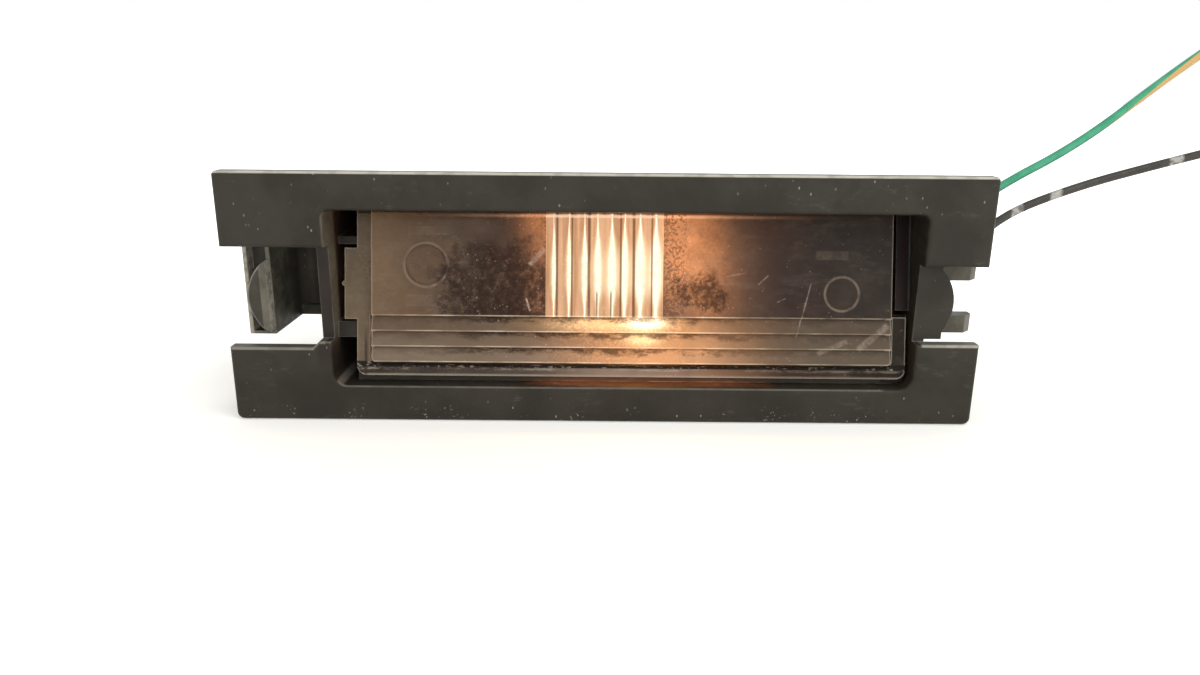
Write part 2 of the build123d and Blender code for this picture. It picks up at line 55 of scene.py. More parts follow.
# Leads: the routes' points in millimetres, from the crimp to the terminal
wire_diameter = 1.2 * MM
green_length = 144.5 * MM
black_length = 125.6 * MM
green_route = [
    (45.55, 15.05, 7.9),
    (50.55, 15.05, 7.9),
    (56.9, 14.6, 13.7),
    (68.2, 14.2, 20.2),
    (79.6, 14.0, 30.1),
    (91.0, 14.5, 38.3),
    (101.0, 15.5, 42.4),
    (111.0, 17.0, 38.2),
    (118.0, 18.5, 25.4),
    (122.0, 19.8, 9.6),
    (127.4, 21.2, -5.4),
    (134.6, 22.0, -13.55),
    (145.6, 22.0, -13.55),
]
black_route = [
    (45.55, 12.15, 2.1),
    (50.55, 12.15, 2.1),
    (56.9, 13.0, 9.6),
    (68.0, 13.8, 14.0),
    (80.0, 13.6, 17.5),
    (92.0, 10.5, 21.4),
    (104.0, 6.5, 21.4),
    (115.0, 4.0, 16.0),
    (124.0, 4.6, 6.4),
    (129.4, 9.0, -6.2),
    (135.4, 17.4, -13.55),
    (145.6, 17.4, -13.55),
]

# Marks on the leads: the green one's stripe, in turns, and the black one's pairs of rings
stripe_turns = 2.9
stripe_start = 0.085
ring_start = 59.8 * MM
ring_gap = 5.5 * MM
ring_pitch = 21.6 * MM
ring_width = 1.6 * MM

# Lens face: places are (across it from lens_middle, up its slope from its middle)
lens_middle = 0.35 * MM
lens_tilt = math.radians(14.0)
lens_depth = 0.7 * MM
lens_left = -31.9 * MM
lens_right = 38.5 * MM
flute_left = -8.3 * MM
flute_pitch = 1.975 * MM
flute_right = flute_left + 8 * flute_pitch
step_top = -2.58 * MM
step_pitch = 2.09 * MM
step_low = step_top - 3 * step_pitch
shadow_start = 11.2 * MM
rim_edge = 0.1 * MM
back_height = -1.85 * MM
dull_from = 10.0 * MM
dull_to = 24.0 * MM

# Lens: its soft glows, each with colour, place, size and whether it lies on the steps
glows = (
    ((0.6, 0.22, 0.08), (10.0 * MM, 8.0 * MM), (4.5 * MM, 6.5 * MM), False),
    ((0.3, 0.12, 0.045), (12.5 * MM, 1.0 * MM), (4.5 * MM, 6.5 * MM), False),
    ((0.5, 0.18, 0.06), (-8.6 * MM, 11.0 * MM), (2.8 * MM, 6.0 * MM), False),
    ((0.16, 0.06, 0.024), (-9.2 * MM, 0.0 * MM), (1.6 * MM, 6.0 * MM), False),
    ((0.75, 0.42, 0.25), (1.0 * MM, 11.0 * MM), (14.0 * MM, 0.2 * MM), False),
    ((0.68, 0.27, 0.085), (6.2 * MM, -7.5 * MM), (10.4 * MM, 6.5 * MM), True),
    ((1.0, 0.6, 0.27), (0.5 * MM, -3.5 * MM), (7.5 * MM, 1.1 * MM), True),
    ((2.0, 1.85, 1.3), (5.2 * MM, -3.3 * MM), (2.2 * MM, 0.8 * MM), True),
    ((0.8, 0.66, 0.34), (4.8 * MM, -5.6 * MM), (2.2 * MM, 0.8 * MM), True),
)

# Lens: plain rings (place, radius) and pads (place, half size)
rings = (
    ((-24.5 * MM, 4.3 * MM), 2.95 * MM),
    ((31.7 * MM, 0.8 * MM), 2.3 * MM),
)
pads = (
    ((-24.2 * MM, 8.9 * MM), (2.7 * MM, 0.6 * MM)),
    ((-24.6 * MM, -0.5 * MM), (2.7 * MM, 0.8 * MM)),
    ((30.3 * MM, 6.0 * MM), (2.2 * MM, 0.6 * MM)),
)

# Lens: its flutes, each with the place and reach of its glare and of its seam, and whether the seam is whole
flutes = (
    (-7.23 * MM, 0.24 * MM, -6.82 * MM, 0.16 * MM, True),
    (-5.19 * MM, 0.3 * MM, -4.8 * MM, 0.14 * MM, True),
    (-3.08 * MM, 0.36 * MM, -2.5 * MM, 0.2 * MM, True),
    (-1.3 * MM, 0.5 * MM, -1.4 * MM, 0.13 * MM, False),
    (0.61 * MM, 0.62 * MM, 0.5 * MM, 0.13 * MM, False),
    (2.32 * MM, 0.55 * MM, 1.8 * MM, 0.15 * MM, True),
    (4.43 * MM, 0.8 * MM, 3.56 * MM, 0.2 * MM, True),
    (6.54 * MM, 0.8 * MM, 6.0 * MM, 0.12 * MM, True),
)

# Lens: scratches and smears, each with its start, end and half width, and its strength
scratches = (
    (((27.6 * MM, 2.5 * MM), (25.6 * MM, -5.4 * MM), 0.13 * MM), 0.25),
    (((38.3 * MM, -3.2 * MM), (33.8 * MM, -7.0 * MM), 0.65 * MM), 0.2),
    (((32.8 * MM, -5.5 * MM), (28.4 * MM, -7.4 * MM), 0.5 * MM), 0.17),
    (((-8.4 * MM, 6.7 * MM), (-10.6 * MM, 4.3 * MM), 0.5 * MM), 0.4),
    (((-11.0 * MM, 0.0 * MM), (-10.4 * MM, -1.9 * MM), 0.18 * MM), 0.6),
    (((21.8 * MM, 3.3 * MM), (20.3 * MM, 1.9 * MM), 0.14 * MM), 0.22),
    (((24.2 * MM, 0.2 * MM), (22.9 * MM, -0.4 * MM), 0.12 * MM), 0.2),
    (((15.8 * MM, 3.0 * MM), (19.0 * MM, 3.6 * MM), 0.12 * MM), 0.16),
)

# Lens: sooty patches (place, size), and the colours along its film and its lower rim
left_patch = ((-14.2 * MM, 0.9 * MM), (7.6 * MM, 6.8 * MM))
right_patch = ((12.8 * MM, 0.7 * MM), (3.7 * MM, 2.4 * MM))
film_stops = (
    (0.0, (0.155, 0.098, 0.055)),
    (0.07, (0.115, 0.07, 0.04)),
    (0.16, (0.085, 0.054, 0.036)),
    (0.24, (0.05, 0.029, 0.02)),
    (0.33, (0.045, 0.024, 0.016)),
    (0.6, (0.08, 0.038, 0.02)),
    (0.72, (0.04, 0.027, 0.021)),
    (0.8, (0.018, 0.0145, 0.0135)),
    (1.0, (0.021, 0.0175, 0.0145)),
)
rim_stops = (
    (0.0, (0.026, 0.02, 0.016)),
    (0.3, (0.055, 0.043, 0.033)),
    (0.47, (0.27, 0.19, 0.14)),
    (0.65, (0.2, 0.11, 0.064)),
    (0.8, (0.03, 0.017, 0.011)),
    (1.0, (0.011, 0.008, 0.006)),
)

# Lens: colours of its painted edge highlights and of its dark dirt and painted shade
edge_highlight_colour = (0.42, 0.36, 0.28)
dark_dirt_and_shade = (0.02, 0.0095, 0.006)
no_light = (0.0, 0.0, 0.0)

# Housing: places that bound its dust, specks, crumbs, painted light, painted shade and painted sheen
opening_left = -36.65 * MM
clip_right = -41.0 * MM
clip_front = 3.6 * MM
clip_deep = 14.0 * MM
pad_right = -44.0 * MM
skin_right = -49.05 * MM
hook_left = 45.8 * MM
left_slot = (-36.3 * MM, -33.2 * MM)
right_slot = (38.5 * MM, 41.5 * MM)
bezel_back = 0.6 * MM
pillar_top = 6.5 * MM
pillar_low = -10.5 * MM
left_ear_end = -37.2 * MM
right_ear_end = 42.4 * MM
upper_bar_low = 12.0 * MM
lip_end = 38.5 * MM
low_edge = -15.6 * MM

# Housing: colours, with painted shade, dust that also paints light, and painted sheen on the tops
plastic_dark = (0.0189, 0.0163, 0.0124)
plastic_light = (0.028, 0.0243, 0.0187)
scuff_colour = (0.11, 0.1, 0.086)
shade_colour = (0.0105, 0.0045, 0.0045)
dust_and_light_colour = (0.14, 0.13, 0.1)
pale_dust_and_highlight_colour = (0.34, 0.31, 0.255)
edge_colour = (0.22, 0.21, 0.18)
top_sheen_colour = (0.5, 0.47, 0.4)
speck_colour = (0.3, 0.28, 0.245)
crumb_colour = (0.33, 0.31, 0.27)

# Bulb: the filament's coil and its light
coil_turns = 16
coil_points = 12
coil_radius = 0.24 * MM
coil_wire = 0.055 * MM
filament_place = (4.35 * MM, 13.6 * MM, 5.0 * MM)
bulb_colour = (1.0, 0.52, 0.22)
bulb_power = 0.05
bulb_light_radius = 1.5 * MM

# Light that leaves below the lens's rim: three lights of one depth, one on another
rim_light_place = (6.0 * MM, -0.2 * MM, -11.15 * MM)
rim_light_widths = (34.0 * MM, 24.0 * MM, 14.0 * MM)
rim_light_depth = 1.6 * MM
rim_light_colour = (1.0, 0.33, 0.12)
rim_light_power = 0.0015

# Studio: each light's name, place, size and power, and whether gloss shows it
studio_lights = (
    ("key", (0.32, -0.3, 0.42), 0.45, 1.6, True),
    ("fill", (-0.35, -0.35, 0.25), 0.3, 0.2, True),
    ("front", (0.15, -0.5, 0.1), 0.25, 1.1, False),
)
world_strength = 0.8
floor_size = 6.0
floor_gap = 0.05 * MM
floor_colour = (0.86, 0.845, 0.79, 1.0)
floor_shadow_reach = (0.05, 0.16)
floor_shadow_level = 0.2


class Graph:
    """A material's nodes, added and linked one at a time."""

    def __init__(self, name):
        self.material = bpy.data.materials.new(name)
        self.material.use_nodes = True
        self.tree = self.material.node_tree
        self.tree.nodes.clear()
        self.output = self.tree.nodes.new("ShaderNodeOutputMaterial")
        self.place = self.node("TexCoord").outputs["Object"]

    def node(self, kind, inputs=None, **settings):
        """A new node; each input is a value or another node's socket."""
        made = self.tree.nodes.new("ShaderNode" + kind)
        for name, value in settings.items():
            setattr(made, name, value)
        for name, value in (inputs or {}).items():
            socket = made.inputs[name]
            if isinstance(value, bpy.types.NodeSocket):
                self.tree.links.new(value, socket)
            else:
                socket.default_value = value
        return made

    def math(self, operation, first, second=0.0):
        inputs = {0: first, 1: second}
        return self.node("Math", inputs, operation=operation, use_clamp=False).outputs[0]

    def times(self, first, *others):
        for other in others:
            first = self.math("MULTIPLY", first, other)
        return first

    def most(self, first, *others):
        """The largest of the values."""
        for other in others:
            first = self.math("MAXIMUM", first, other)
        return first

    def off(self, value, middle):
        """How far a value is from a middle, to either side."""
        return self.math("ABSOLUTE", self.math("SUBTRACT", value, middle))

    def less(self, value):
        return self.math("SUBTRACT", 1.0, value)

    def axis(self, name):
        """One coordinate of the surface point."""
        return self.node("SeparateXYZ", {0: self.place}).outputs[name]

    def normal(self, name):
        """One coordinate of the surface's direction."""
        return self.node("SeparateXYZ", {0: self.node("NewGeometry").outputs["Normal"]}).outputs[name]

    def noise(self, scale, detail=3.0, rough=0.55, stretch=(1, 1, 1)):
        place = self.node("Mapping", {"Vector": self.place, "Scale": stretch}).outputs[0]
        inputs = {"Vector": place, "Scale": scale, "Detail": detail, "Roughness": rough}
        return self.node("TexNoise", inputs).outputs["Fac"]

    def specks(self, scale, size, stretch=(1, 1, 1)):
        """1 inside small scattered dots and 0 between them."""
        place = self.node("Mapping", {"Vector": self.place, "Scale": stretch}).outputs[0]
        cells = self.node("TexVoronoi", {"Vector": place, "Scale": scale})
        return self.band(cells.outputs["Distance"], size, 0.5 * size)

    def band(self, value, low, high, start=0.0, end=1.0):
        """value between low and high, as start to end, clamped."""
        inputs = {"Value": value, "From Min": low, "From Max": high, "To Min": start, "To Max": end}
        return self.node("MapRange", inputs, interpolation_type="SMOOTHSTEP").outputs[0]

    def mix(self, factor, first, second):
        made = self.node("Mix", data_type="RGBA")
        for socket, value in ((made.inputs[0], factor), (made.inputs[6], first), (made.inputs[7], second)):
            if isinstance(value, bpy.types.NodeSocket):
                self.tree.links.new(value, socket)
            elif isinstance(value, tuple):
                socket.default_value = (*value, 1.0)
            else:
                socket.default_value = value
        return made.outputs[2]

    def sum(self, first, second):
        return self.node("VectorMath", {0: first, 1: second}, operation="ADD").outputs[0]

    def edges(self, radius):
        """1 along the mesh's sharp edges and 0 on its flat faces."""
        bevel = self.node("Bevel", {"Radius": radius}, samples=6).outputs[0]
        normal = self.node("NewGeometry").outputs["Normal"]
        turn = self.node("VectorMath", {0: bevel, 1: normal}, operation="DOT_PRODUCT").outputs["Value"]
        return self.band(turn, 0.97, 0.72)

    def bump(self, height, distance, strength=1.0, radius=None):
        inputs = {"Height": height, "Distance": distance, "Strength": strength}
        if radius:
            inputs["Normal"] = self.node("Bevel", {"Radius": radius}, samples=6).outputs[0]
        return self.node("Bump", inputs).outputs[0]

    def blend(self, factor, first, second):
        """Two shaders mixed by factor."""
        made = self.node("MixShader", {"Fac": factor})
        self.tree.links.new(first.outputs[0], made.inputs[1])
        self.tree.links.new(second.outputs[0], made.inputs[2])
        return made

    def finish(self, shader):
        self.tree.links.new(shader.outputs[0], self.output.inputs["Surface"])
        return self.material


def clip_dust_and_light(graph):
    """Share of dust and painted light on the clip: on the pad's bevels and the arm's front, patchy on its
    inner side.
    """
    y = graph.axis("Y")
    sideways = graph.math("ABSOLUTE", graph.normal("X"))
    tilted = graph.times(graph.band(sideways, 0.2, 0.4), graph.band(sideways, 0.97, 0.9))
    near = graph.band(y, clip_front + 1.4 * MM, clip_front + 0.4 * MM)
    bevels = graph.times(tilted, graph.band(graph.normal("Y"), -0.2, -0.4), near)
    forward = graph.band(graph.normal("Y"), -0.7, -0.9)
    front = graph.times(forward, near, graph.band(y, clip_front - 0.5 * MM, clip_front))
    mottled = graph.band(graph.noise(380, 6, 0.72), 0.42, 0.62, 0.3, 0.8)
    shallow = graph.band(y, clip_deep, clip_deep - 5 * MM, 0.1, 1.0)
    inner = graph.times(graph.band(graph.normal("X"), 0.6, 0.9), mottled, shallow)
    return graph.most(graph.band(bevels, 0.0, 1.0, 0.2, 1.0), front, inner)


def clip_pale_dust_and_highlights(graph):
    """Share of the palest dust and painted highlights on the clip: on the pad's right side and along the
    arm's left skin.
    """
    x = graph.axis("X")
    y = graph.axis("Y")
    pad_side = graph.times(
        graph.band(graph.normal("X"), 0.75, 0.9),
        graph.band(x, pad_right, pad_right - 1 * MM),
        graph.band(y, clip_front + 0.3 * MM, clip_front),
    )
    skin = graph.times(
        graph.band(x, skin_right + 0.1 * MM, skin_right),
        graph.band(y, clip_front - 0.5 * MM, clip_front - 0.2 * MM),
        graph.band(y, clip_front + 4 * MM, clip_front + 1 * MM),
    )
    patchy = graph.band(graph.noise(900, 5, 0.7), 0.36, 0.58, 0.35, 1.0)
    return graph.times(graph.most(pad_side, skin), patchy)


def housing_dust_and_light(graph):
    """Share of dust and painted light: both on the clip and the upper front of the opening's left wall,
    painted light alone on the hooks.
    """
    x = graph.axis("X")
    y = graph.axis("Y")
    behind = graph.band(y, bezel_back - 0.3 * MM, bezel_back)
    clip = graph.times(graph.band(x, clip_right, clip_right - 2 * MM), clip_dust_and_light(graph))
    # painted light: the hooks paler, as if lit from the right
    hooks = graph.times(graph.band(x, hook_left, hook_left + 0.4 * MM), 0.6)
    upper = graph.band(graph.axis("Z"), -7.5 * MM, -4.0 * MM)
    left_wall = graph.times(left_wall_faces(graph), graph.band(y, 3.6 * MM, 2.4 * MM), upper, 0.55)
    covered = graph.most(graph.times(graph.most(clip, hooks), behind), left_wall)
    return graph.times(covered, graph.band(graph.noise(450, 5, 0.65), 0.3, 0.65, 0.5, 1.0))


def left_wall_faces(graph):
    """1 on the opening's left wall, which looks to the right, else 0."""
    x = graph.axis("X")
    return graph.times(
        graph.band(graph.normal("X"), 0.4, 0.8),
        graph.band(x, opening_left + 3.6 * MM, opening_left + 1.6 * MM),
        graph.band(x, opening_left - 1.0 * MM, opening_left - 0.5 * MM),
    )


def housing_shade(graph):
    """Share of painted shade: in the slots beside the lens and deep and low on its left wall; and a darker
    tone on the left pillar.
    """
    x = graph.axis("X")
    y = graph.axis("Y")
    z = graph.axis("Z")
    behind = graph.band(y, bezel_back, bezel_back + 0.3 * MM)
    in_right = graph.times(
        graph.band(x, right_slot[0] - 0.3 * MM, right_slot[0]),
        graph.band(x, right_slot[1] + 0.2 * MM, right_slot[1]),
    )
    in_left = graph.times(
        graph.band(x, left_slot[0] - 0.2 * MM, left_slot[0]),
        graph.band(x, left_slot[1] + 0.4 * MM, left_slot[1]),
    )
    slots = graph.times(graph.most(graph.times(in_right, 0.88), graph.times(in_left, 0.1)), behind)
    inward = graph.band(y, 2.6 * MM, 3.8 * MM)
    lower = graph.times(graph.band(z, -4.5 * MM, -8.0 * MM), 0.6)
    left_wall = graph.times(left_wall_faces(graph), graph.most(inward, lower), 0.6)
    pillar = graph.times(
        graph.band(x, opening_left - 2.4 * MM, opening_left - 1.4 * MM),
        graph.band(x, opening_left + 1.0 * MM, opening_left + 0.6 * MM),
        graph.band(y, bezel_back + 0.3 * MM, bezel_back),
        graph.band(z, pillar_top, pillar_top - 1.5 * MM),
        graph.band(z, pillar_low, pillar_low + 3.5 * MM),
        0.45,
    )
    return graph.most(slots, left_wall, pillar)


def top_edge_sheen(graph):
    """Share of painted sheen: on the bezel's upper edges, a little on its flat tops and on the lower lip."""
    upward = graph.normal("Z")
    x = graph.axis("X")
    rounded = graph.times(graph.band(upward, 0.25, 0.6), graph.band(upward, 0.999, 0.98), 0.8)
    flat = graph.times(graph.band(upward, 0.97, 0.99), graph.band(graph.axis("Y"), 0.2 * MM, 0.0), 0.25)
    left_ear = graph.band(x, left_ear_end, left_ear_end - 0.4 * MM, 0.0, 0.4)
    right_ear = graph.band(x, right_ear_end, right_ear_end + 0.4 * MM, 0.0, 0.7)
    upper_bar = graph.band(graph.axis("Z"), upper_bar_low, upper_bar_low + 1 * MM)
    outside = graph.most(left_ear, right_ear, upper_bar)
    lip = graph.times(graph.band(upward, 0.5, 0.7), graph.band(upward, 0.97, 0.9), 0.16)
    lip = graph.times(lip, graph.band(x, lip_end, lip_end - 1 * MM))
    return graph.most(graph.times(graph.most(rounded, flat), outside), lip)


def housing_colour(graph):
    """Dark plastic with scuffs, painted shade, dust with painted light, worn edges, painted sheen on upper
    edges, pale specks and crumbs.
    """
    z = graph.axis("Z")
    colour = graph.mix(graph.band(graph.noise(120, 4), 0.35, 0.65), plastic_dark, plastic_light)
    scuffs = graph.band(graph.noise(240, 6, 0.72, (1.0, 1.0, 2.5)), 0.58, 0.76)
    colour = graph.mix(graph.times(scuffs, 0.3), colour, scuff_colour)
    # painted shade in the slots and on the left wall, and a darker left pillar
    colour = graph.mix(housing_shade(graph), colour, shade_colour)
    # dust with painted light on the clip, the hooks and the left wall
    colour = graph.mix(housing_dust_and_light(graph), colour, dust_and_light_colour)
    # palest dust with painted highlights on the clip's edges
    colour = graph.mix(clip_pale_dust_and_highlights(graph), colour, pale_dust_and_highlight_colour)
    uneven = graph.band(graph.noise(420, 4), 0.35, 0.6, 0.2, 1.0)
    colour = graph.mix(graph.times(graph.edges(0.3 * MM), uneven, 0.6), colour, edge_colour)
    patchiness = graph.band(uneven, 0.2, 1.0, 0.75, 1.0)
    # painted sheen on the upward edges and tops, made patchy
    colour = graph.mix(graph.times(top_edge_sheen(graph), patchiness), colour, top_sheen_colour)
    more_below = graph.band(z, low_edge + 1.2 * MM, low_edge, 0.0, 0.07)
    dusty = graph.math("ADD", graph.noise(230, 2), more_below)
    dots = graph.times(graph.specks(1100, 0.16, (1.0, 1.0, 0.6)), graph.band(dusty, 0.54, 0.68))
    colour = graph.mix(graph.times(dots, 0.5), colour, speck_colour)
    heaped = graph.band(graph.noise(320, 3), 0.52, 0.62)
    below = graph.band(z, low_edge + 1.6 * MM, low_edge)
    crumbs = graph.times(graph.band(graph.noise(2600, 3, 0.6), 0.6, 0.7), heaped, below)
    return graph.mix(graph.times(crumbs, 0.6), colour, crumb_colour)


def housing_plastic():
    """The housing's satin plastic with its fine grain."""
    graph = Graph("black_plastic")
    inputs = {
        "Base Color": housing_colour(graph),
        "Roughness": graph.band(graph.noise(500, 4), 0.3, 0.7, 0.36, 0.52),
        "Specular IOR Level": 0.18,
        "Normal": graph.bump(graph.noise(5200, 3), 0.04 * MM, 0.35, 0.3 * MM),
    }
    return graph.finish(graph.node("BsdfPrincipled", inputs))


class LensGraph(Graph):
    """A material's nodes with the places on the lens's tilted face."""

    def __init__(self, name):
        super().__init__(name)
        self.x = self.math("SUBTRACT", self.axis("X"), lens_middle)
        self.slope = self.distance((0.0, math.sin(lens_tilt), math.cos(lens_tilt)))
        self.height = self.distance((0.0, -math.cos(lens_tilt), math.sin(lens_tilt)))
        self.below_top = self.band(self.slope, step_top + 0.05 * MM, step_top - 0.05 * MM)
        self.above_top = self.less(self.below_top)
        right_of_left = self.band(self.x, lens_left - 0.02 * MM, lens_left + 0.02 * MM)
        left_of_right = self.band(self.x, lens_right + 0.02 * MM, lens_right - 0.02 * MM)
        above_low = self.band(self.slope, step_low - 0.02 * MM, step_low + 0.02 * MM)
        self.face = self.times(right_of_left, left_of_right, above_low)
        self.rim = self.less(self.face)
        self.steps = self.times(self.below_top, self.face)
        drop = self.math("SUBTRACT", step_top, self.slope)
        self.phase = self.math("FRACT", self.math("DIVIDE", drop, step_pitch))
        within = self.times(
            self.band(self.x, flute_left - 0.08 * MM, flute_left),
            self.band(self.x, flute_right + 0.08 * MM, flute_right),
        )
        self.fluted = self.times(within, self.above_top)
        self.shaded = self.band(self.slope, shadow_start, shadow_start + 0.2 * MM)
        self.right_rim = self.band(self.x, lens_right + rim_edge, lens_right + rim_edge + 0.2 * MM)

    def distance(self, direction):
        """Distance from the middle of the lens's face along a direction."""
        shifted = self.node("VectorMath", {0: self.place, 1: (0.0, -lens_depth, 0.0)}).outputs[0]
        dot = self.node("VectorMath", {0: shifted, 1: direction}, operation="DOT_PRODUCT")
        return dot.outputs["Value"]

    def scratch(self, start, end, width):
        """1 along a straight scratch from start to end on the face, and 0 beside it."""
        run = (end[0] - start[0], end[1] - start[1])
        length = math.hypot(*run)
        right = self.math("SUBTRACT", self.x, start[0])
        up = self.math("SUBTRACT", self.slope, start[1])
        along = self.math("ADD", self.times(right, run[0]), self.times(up, run[1]))
        across = self.math("SUBTRACT", self.times(right, run[1]), self.times(up, run[0]))
        beside = self.math("ABSOLUTE", self.math("DIVIDE", across, length))
        past = self.math("SUBTRACT", self.math("DIVIDE", along, length * length), 0.5)
        ends = self.band(self.math("ABSOLUTE", past), 0.5, 0.4)
        return self.times(self.band(beside, width, 0.3 * width), ends)

    def patch(self, centre, size):
        """1 at the centre of a soft round patch on the face, falling to 0 round it."""
        right = self.math("DIVIDE", self.math("SUBTRACT", self.x, centre[0]), size[0])
        up = self.math("DIVIDE", self.math("SUBTRACT", self.slope, centre[1]), size[1])
        square = self.math("ADD", self.times(right, right), self.times(up, up))
        return self.math("POWER", math.e, self.times(square, -1.0))

    def ramp(self, stops):
        """A colour that changes across the face along the given stops."""
        across = self.node("MapRange", {"Value": self.x, "From Min": lens_left, "From Max": lens_right})
        made = self.node("ValToRGB", {"Fac": across.outputs[0]})
        elements = made.color_ramp.elements
        while len(elements) < len(stops):
            elements.new(0.5)
        for element, (place, colour) in zip(elements, stops):
            element.position = place
            element.color = (*colour, 1.0)
        return made.outputs["Color"]


def lens_soot(graph):
    """1 in the sooty patches on both sides of the flutes."""
    both = graph.math("ADD", graph.patch(*left_patch), graph.patch(*right_patch))
    ragged = graph.band(graph.noise(350, 6, 0.7), 0.3, 0.7, -0.25, 0.25)
    return graph.times(graph.band(graph.math("ADD", both, ragged), 0.2, 0.65), graph.above_top)


def lens_grime_and_shade(graph, soot):
    """Dark dirt and painted shade below the steps' edges, and dark dirt mottled beside the bulb."""
    caked = graph.band(graph.noise(800, 7, 0.78, (0.3, 1.0, 1.0)), 0.36, 0.52)
    from_left = graph.band(graph.x, -27 * MM, -14 * MM, 0.25, 0.9)
    to_right = graph.band(graph.x, 24 * MM, 9 * MM, 0.35, 1.0)
    ragged = graph.band(graph.noise(500, 6, 0.75, (0.5, 1.0, 1.0)), 0.3, 0.7, -0.25, 0.25)
    below = graph.band(graph.math("ADD", graph.phase, ragged), 0.52, 0.14)
    edge = graph.times(graph.band(graph.phase, 0.16, 0.06), 0.6)
    # dirt and painted shade in the hollow under each step's edge
    lines = graph.times(graph.most(graph.times(below, caked), edge), graph.steps, from_left, to_right)
    mottle = graph.band(graph.noise(1100, 9, 0.8), 0.36, 0.56)
    mottle = graph.times(mottle, graph.band(soot, 0.0, 1.0, 0.12, 0.95), graph.above_top)
    return graph.most(lines, mottle)


def lens_rim(graph):
    """Colour of the rim: pale at the left, dark at the right, streaked along the bottom."""
    across = graph.band(graph.x, lens_left, lens_right)
    sides = graph.mix(across, (0.125, 0.09, 0.056), (0.016, 0.012, 0.009))
    down = graph.math("SUBTRACT", step_low, graph.slope)
    bottom = graph.ramp(rim_stops)
    fading = graph.band(graph.x, 9 * MM, 22 * MM, 1.0, 0.4)
    broken = graph.times(graph.band(graph.noise(600, 6, 0.75, (0.25, 1.0, 1.0)), 0.44, 0.6), fading)
    upper = graph.times(graph.band(down, 0.7 * MM, 0.85 * MM), graph.band(down, 1.25 * MM, 1.0 * MM))
    bottom = graph.mix(graph.times(upper, broken, 0.6), bottom, (0.42, 0.36, 0.29))
    lower = graph.band(down, 1.55 * MM, 1.75 * MM)
    bottom = graph.mix(graph.times(lower, fading, 0.5), bottom, (0.35, 0.3, 0.23))
    return graph.mix(graph.band(down, -0.02 * MM, 0.02 * MM), sides, bottom)


def lens_marks(graph, shift=0.0):
    """Plain rings and pads on the face, made larger by shift."""
    marks = 0.0
    for centre, radius in rings:
        right = graph.math("SUBTRACT", graph.x, centre[0])
        up = graph.math("SUBTRACT", graph.slope, centre[1])
        far = graph.math("SQRT", graph.math("ADD", graph.times(right, right), graph.times(up, up)))
        marks = graph.most(marks, graph.band(graph.off(far, radius + shift), 0.24 * MM, 0.08 * MM))
    for centre, half in pads:
        right = graph.math("SUBTRACT", graph.off(graph.x, centre[0]), half[0])
        up = graph.math("SUBTRACT", graph.off(graph.slope, centre[1]), half[1])
        pad = graph.band(graph.most(right, up), shift + 0.1 * MM, shift - 0.1 * MM, 0.0, 0.35)
        marks = graph.most(marks, pad)
    return graph.times(marks, graph.band(graph.noise(700, 4), 0.3, 0.6, 0.4, 1.0))


def film_base(graph, soot):
    """Colour of the film alone: browned, sooty, paler on the steps, with clouds and streaks."""
    film = graph.ramp(film_stops)
    strokes = graph.band(graph.noise(700, 8, 0.78), 0.54, 0.63)
    sooty = graph.mix(strokes, (0.021, 0.012, 0.009), (0.13, 0.08, 0.057))
    film = graph.mix(graph.times(soot, 0.75), film, sooty)
    lower = graph.band(graph.slope, step_top, step_low)
    stepped = graph.mix(lower, (0.085, 0.057, 0.037), (0.145, 0.108, 0.075))
    to_right = graph.band(graph.x, dull_from, dull_to)
    stepped = graph.mix(graph.times(to_right, 0.65), stepped, (0.042, 0.034, 0.024))
    film = graph.mix(graph.steps, film, stepped)
    film = graph.mix(graph.rim, film, lens_rim(graph))
    cloud = graph.band(graph.noise(260, 6, 0.7), 0.4, 0.75)
    cloud = graph.times(cloud, graph.band(to_right, 0.0, 1.0, 0.2, 0.08))
    film = graph.mix(cloud, film, (0.2, 0.15, 0.105))
    streaks = graph.band(graph.noise(420, 7, 0.75, (0.3, 1.0, 1.0)), 0.5, 0.72)
    streaks = graph.times(streaks, graph.band(to_right, 0.0, 1.0, 0.16, 0.08))
    return graph.mix(streaks, film, (0.3, 0.25, 0.2))


def film_marks(graph, film, grime_and_shade):
    """The film with the plain marks and painted shadow inside them, dirt and painted shade under the steps,
    dark dirt beside the bulb, the bezel's painted shadow, dots and scratches on it.
    """
    # painted shadow just inside the plain rings and pads
    film = graph.mix(graph.times(lens_marks(graph, -0.3 * MM), 0.5), film, (0.03, 0.02, 0.014))
    film = graph.mix(graph.times(lens_marks(graph), 0.24), film, (0.42, 0.33, 0.25))
    # dark dirt and painted shade
    film = graph.mix(grime_and_shade, film, dark_dirt_and_shade)
    film = graph.mix(graph.times(graph.shaded, 0.8), film, (0.03, 0.016, 0.01))
    fewer_left = graph.band(graph.x, -24 * MM, -15 * MM, 0.15, 1.0)
    fewer_right = graph.band(graph.x, 12 * MM, 20 * MM, 1.0, 0.4)
    strewn = graph.times(graph.band(graph.noise(420, 2), 0.5, 0.6), fewer_left, fewer_right)
    film = graph.mix(graph.times(graph.specks(1500, 0.2), strewn, 0.5), film, (0.4, 0.32, 0.26))
    patchiness = graph.band(graph.noise(900, 6, 0.75), 0.36, 0.6, 0.2, 1.2)
    for line, strength in scratches:
        film = graph.mix(graph.times(graph.scratch(*line), strength, patchiness), film, (0.5, 0.4, 0.32))
    return film


